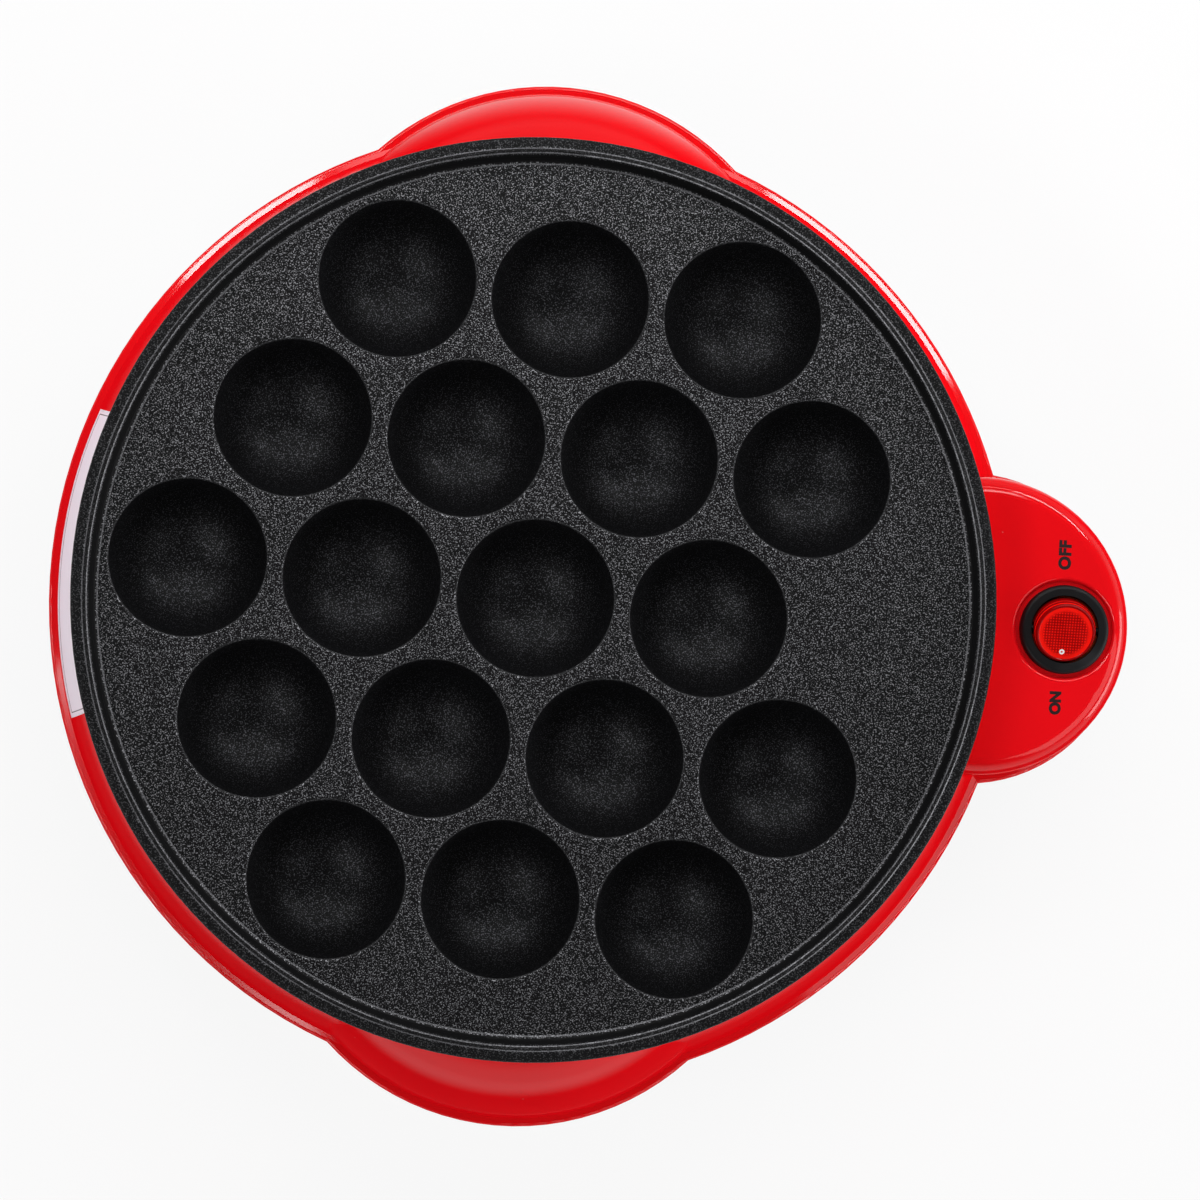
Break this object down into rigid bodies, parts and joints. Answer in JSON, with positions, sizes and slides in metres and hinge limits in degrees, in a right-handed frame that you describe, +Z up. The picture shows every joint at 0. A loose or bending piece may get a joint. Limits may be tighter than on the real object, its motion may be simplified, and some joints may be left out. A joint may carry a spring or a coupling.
{
  "type": "takoyaki maker",
  "caption": "Round electric countertop cooker: a lift-off cast plate of half-round cups on a flared plastic body with finger ears and a side pod that holds a lit rocker switch.",
  "frame": {"origin": "middle of the plan outline, on the surface that the feet stand on", "axes": "+Z up; +X from the round body towards the switch pod; the lifting ears lie along Y"},
  "size_m": [0.2836, 0.2748, 0.082],
  "materials": {
    "plate_coating": "dark non-stick coating with a fine speckle on die-cast aluminium",
    "red_shell": "glossy red moulded plastic",
    "black_shell": "fine-grained black moulded plastic",
    "switch_black": "satin black switch body",
    "switch_red": "translucent red, lit from inside",
    "pan_steel": "bright aluminised sheet steel",
    "heater_sheath": "heat-tinted steel tube",
    "zinc_steel": "zinc-plated steel",
    "thermostat_body": "dark phenolic body",
    "fuse_case": "plain metal case",
    "white_ceramic": "off-white unglazed ceramic",
    "tab_brass": "bright brass tabs",
    "black_rubber": "soft black rubber",
    "foot_rubber": "dark rubber pads",
    "clamp_plastic": "natural nylon",
    "block_plastic": "natural nylon",
    "lamp_glass": "small glass neon lamp"
  },
  "bodies": {
    "body": {"upper_housing": "red_shell", "lower_housing": "black_shell", "switch_housing": "switch_black", "reflector_pan": "pan_steel", "heating_element": "heater_sheath", "thermostat_bracket": "zinc_steel", "thermostat": "thermostat_body", "thermal_fuse": "fuse_case", "fuse_strap": "zinc_steel", "bracket_screws": "zinc_steel", "pan_screws": "zinc_steel", "housing_screws": "zinc_steel", "cord_gland": "black_rubber", "cord_clamp": "clamp_plastic", "clamp_screws": "zinc_steel", "terminal_block": "block_plastic", "switch_terminals": "tab_brass", "neon_lamp": "lamp_glass", "foot_1": "foot_rubber", "foot_2": "foot_rubber", "foot_3": "foot_rubber", "foot_4": "foot_rubber", "heater_cradle_1": "zinc_steel", "heater_cradle_2": "zinc_steel", "heater_cradle_3": "zinc_steel", "terminal_bush_1": "white_ceramic", "terminal_pin_1": "tab_brass", "terminal_bush_2": "white_ceramic", "terminal_pin_2": "tab_brass"},
    "plate": {"cooking_plate": "plate_coating"},
    "rocker": {"switch_rocker": "switch_red"}
  },
  "joints": [
    {"name": "plate_lift", "type": "slide", "parent": "body", "child": "plate", "axis": [0, 0, 1], "range_m": [0, 0.06]},
    {"name": "switch_rock", "type": "hinge", "parent": "body", "child": "rocker", "pos_m": [0.12208, 0, 0.0662], "axis": [-1, 0, 0], "range_deg": [0, 36]}
  ]
}
